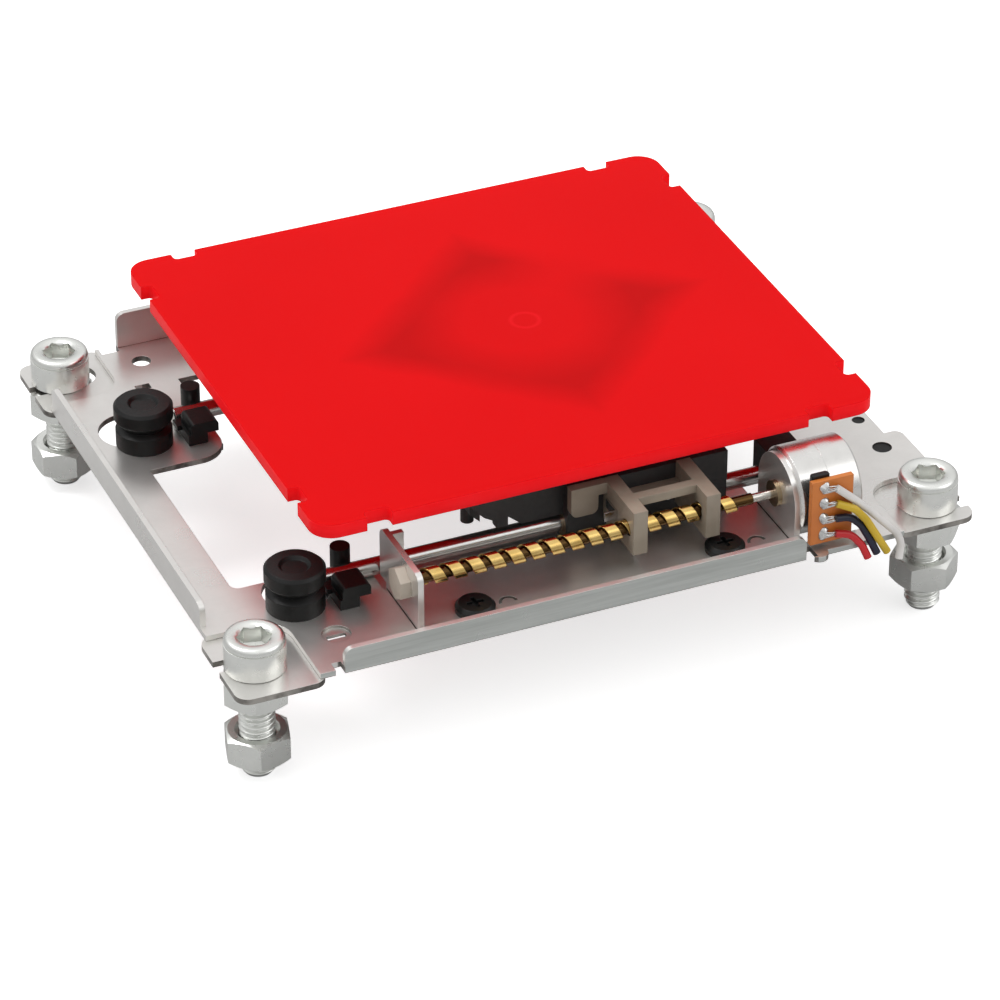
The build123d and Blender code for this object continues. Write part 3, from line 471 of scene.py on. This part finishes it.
def tube(points, radius, sides=10):
    """Rings of a thin wire that follows the points."""
    rings = []
    for k, p in enumerate(points):
        ahead = Vector(points[min(k + 1, len(points) - 1)]) - Vector(points[max(k - 1, 0)])
        side = ahead.cross(Vector((0, 1, 0))).normalized()
        other = ahead.cross(side).normalized()
        rings.append([tuple(Vector(p) + radius * (math.cos(a) * side + math.sin(a) * other))
                      for a in (math.tau * i / sides for i in range(sides))])
    return rings


def strands(rows, seed=3):
    """Bare tinned strands that leave each solder joint and gather into their lead."""
    pick = random.Random(seed)
    each, gap, radius = 5, 0.22, 0.11
    fan_out, gather = 1.3, 0.6
    start_x, start_y, end_y = JOINT_X - 0.2, BOARD_FRONT - 0.55, BOARD_FRONT - 0.7
    made = []
    for z in rows:
        for k in range(each):
            spread = (k - each // 2) * gap
            start = Vector((start_x + pick.uniform(-0.25, 0.25), start_y, z + spread * fan_out))
            end = Vector((LEAD_X, end_y + pick.uniform(-0.15, 0.15), z + spread * gather))
            bow = Vector((0, pick.uniform(-0.35, 0.05), pick.uniform(-0.25, 0.25)))
            path = [start.lerp(end, t) + bow * math.sin(math.pi * t) for t in (0, 0.2, 0.4, 0.6, 0.8, 1)]
            made.append(tube(path, radius))
    return made


def joints(rows, seed=5):
    """Uneven solder mounds on the terminal board."""
    pick = random.Random(seed)
    sides, tall = 28, 1.12
    made = []
    for z in rows:
        lumps = [(pick.uniform(0.04, 0.13), pick.randrange(2, 5), pick.uniform(0, math.tau)) for _ in range(3)]
        rings = []
        for radius, rise in MOUND:
            points = []
            for i in range(sides):
                a = math.tau * i / sides
                lump = sum(size * math.sin(n * a + turn) for size, n, turn in lumps)
                r = radius * (1 + lump * (0.6 + rise))
                points.append((JOINT_X + r * math.cos(a), BOARD_FRONT - rise, z + tall * r * math.sin(a)))
            rings.append(points)
        made.append(rings)
    return made


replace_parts(piece("solder_mounds", joints(ROWS), "solder", sharp=60), "solder_joints")
piece("bare_strands", strands(ROWS), "solder", sharp=60)


# ---------------------------------------------------------------- terminal bar and bracket strip
def terminal_bar():
    """The thin moulded bar that carries the terminal board on the motor, drawn in a little at its ends."""
    (x0, _, z0), (x1, _, z1) = ([c / MM for c in corner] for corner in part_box("terminal_block"))
    bar_front, bar_back, corner = -52.2, -50.8, 0.3
    end_depth, end_inset, inset = 0.15, 0.25, 0.1
    rings = []
    for z, soft in ((z0, end_inset), (z0 + end_depth, inset), (z1 - end_depth, inset), (z1, end_inset)):
        left, right, front, back = x0 + soft, x1 - soft, bar_front, bar_back - soft
        rings.append([(left + corner, front, z), (right - corner, front, z), (right, front + corner, z),
                      (right, back - corner, z), (right - corner, back, z), (left + corner, back, z),
                      (left, back - corner, z), (left, front + corner, z)])
    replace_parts(piece("terminal_bar", [rings], "black_plastic", sharp=40), "terminal_block")


def strip_edge():
    """The back margin of the bracket's strip, dished under the front sleeve and seen through the bay."""
    left, right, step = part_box("screw_bracket")[0][0] / MM, 33.9, 20
    outline = ((-36.6, 19.0), (-36.6, 20.0), (-35.2, 20.0), (-34.9, 19.9), (-34.3, 19.3), (-34.0, 19.2),
               (-27.5, 19.2), (-27.4, 19.1), (-27.4, 18.3), (-27.5, 18.2), (-34.2, 18.2), (-34.6, 18.3),
               (-35.2, 18.9), (-35.4, 19.0))
    rings = [[(x, y, z) for y, z in outline] for x in (left, left + step, left + 2 * step, right)]
    piece("strip_back", [rings], "plated_sheet", sharp=40)


terminal_bar()
strip_edge()

# ---------------------------------------------------------------- camera
LENS, SENSOR = 178.25, 36.0
TURN, LIFT = math.radians(-23.36), math.radians(33.13)
AIM_RIGHT, AIM_UP, AIM_DROP, DISTANCE = 2.46, 7.03, 0.5, 843.52
RIGHT = Vector((math.cos(TURN), math.sin(TURN), 0))
UP = Vector((-math.sin(TURN) * math.sin(LIFT), math.cos(TURN) * math.sin(LIFT), math.cos(LIFT)))
BACK = Vector((math.sin(TURN) * math.cos(LIFT), -math.cos(TURN) * math.cos(LIFT), math.sin(LIFT)))
camera = bpy.data.objects.new("camera", bpy.data.cameras.new("camera"))
bpy.context.scene.collection.objects.link(camera)
camera.data.lens = LENS
camera.data.sensor_width = SENSOR
camera.data.clip_start = 0.05
spot = (RIGHT * AIM_RIGHT + UP * AIM_UP + BACK * DISTANCE - Vector((0, 0, AIM_DROP))) * MM
camera.matrix_world = Matrix.Translation(spot) @ Matrix((RIGHT, UP, BACK)).transposed().to_4x4()
bpy.context.scene.camera = camera

# ---------------------------------------------------------------- floor and light
FLOOR_HALF = 3.0
FLOOR_COLOUR, FLOOR_IN_MIRRORS, FLOOR_GLOW = 0.8, 0.5, 0.6
SKY_LOW, SKY_HIGH, SKY_TOP = 0.38, 0.95, 0.75


def light_path(tree, ray, low, high):
    """A number that is high for that kind of ray and low for the others."""
    path = tree.nodes.new("ShaderNodeLightPath")
    span = tree.nodes.new("ShaderNodeMapRange")
    tree.links.new(path.outputs[ray], span.inputs["Value"])
    span.inputs["To Min"].default_value = low
    span.inputs["To Max"].default_value = high
    return span.outputs["Result"]


def studio_floor():
    """A large pale floor that keeps the object's shadow; mirrors see it darker than the camera does."""
    mesh = bpy.data.meshes.new("floor")
    s = FLOOR_HALF
    mesh.from_pydata([(-s, -s, 0), (s, -s, 0), (s, s, 0), (-s, s, 0)], [], [(0, 1, 2, 3)])
    floor = bpy.data.objects.new("floor", mesh)
    bpy.context.scene.collection.objects.link(floor)
    m = bpy.data.materials.new("floor")
    m.use_nodes = True
    t = m.node_tree
    bsdf = t.nodes["Principled BSDF"]
    bsdf.inputs["Roughness"].default_value = 0.9
    bsdf.inputs["Specular IOR Level"].default_value = 0.1
    shade = t.nodes.new("ShaderNodeCombineColor")
    for channel in shade.inputs:
        t.links.new(light_path(t, "Is Glossy Ray", FLOOR_COLOUR, FLOOR_IN_MIRRORS), channel)
    t.links.new(shade.outputs[0], bsdf.inputs["Base Color"])
    glow = t.nodes.new("ShaderNodeEmission")
    t.links.new(light_path(t, "Is Camera Ray", 0.0, FLOOR_GLOW), glow.inputs["Strength"])
    both = t.nodes.new("ShaderNodeAddShader")
    t.links.new(bsdf.outputs[0], both.inputs[0])
    t.links.new(glow.outputs[0], both.inputs[1])
    t.links.new(both.outputs[0], t.nodes["Material Output"].inputs["Surface"])
    mesh.materials.append(m)


def world():
    """White for the camera; for everything else a soft studio, bright overhead and dim at the horizon."""
    w = bpy.data.worlds.new("studio")
    bpy.context.scene.world = w
    w.use_nodes = True
    t = w.node_tree
    bg = t.nodes["Background"]
    where = t.nodes.new("ShaderNodeTexCoord")
    parts = t.nodes.new("ShaderNodeSeparateXYZ")
    t.links.new(where.outputs["Generated"], parts.inputs[0])
    sky = t.nodes.new("ShaderNodeMapRange")
    t.links.new(parts.outputs["Z"], sky.inputs["Value"])
    sky.inputs["From Max"].default_value = SKY_TOP
    sky.inputs["To Min"].default_value = SKY_LOW
    sky.inputs["To Max"].default_value = SKY_HIGH
    seen = t.nodes.new("ShaderNodeMix")
    t.links.new(light_path(t, "Is Camera Ray", 0.0, 1.0), seen.inputs["Factor"])
    t.links.new(sky.outputs["Result"], seen.inputs["A"])
    seen.inputs["B"].default_value = 1.0
    t.links.new(seen.outputs["Result"], bg.inputs["Strength"])
    bg.inputs["Color"].default_value = (1, 1, 1, 1)


def lamp(name, size, power, place):
    """A soft round lamp aimed at the middle of the object; metres and watts."""
    aim = Vector((0, 0, 0.02))
    data = bpy.data.lights.new(name, "AREA")
    data.shape = "DISK"
    data.size = size
    data.energy = power
    made = bpy.data.objects.new(name, data)
    bpy.context.scene.collection.objects.link(made)
    made.location = place
    made.rotation_euler = (aim - Vector(place)).to_track_quat("-Z", "Y").to_euler()


studio_floor()
world()
lamp("key", size=0.5, power=3.3, place=(-0.35, 0.25, 0.9))
lamp("fill", size=0.9, power=1.8, place=(0.7, -0.6, 0.6))
bpy.context.scene.view_settings.view_transform = "Standard"
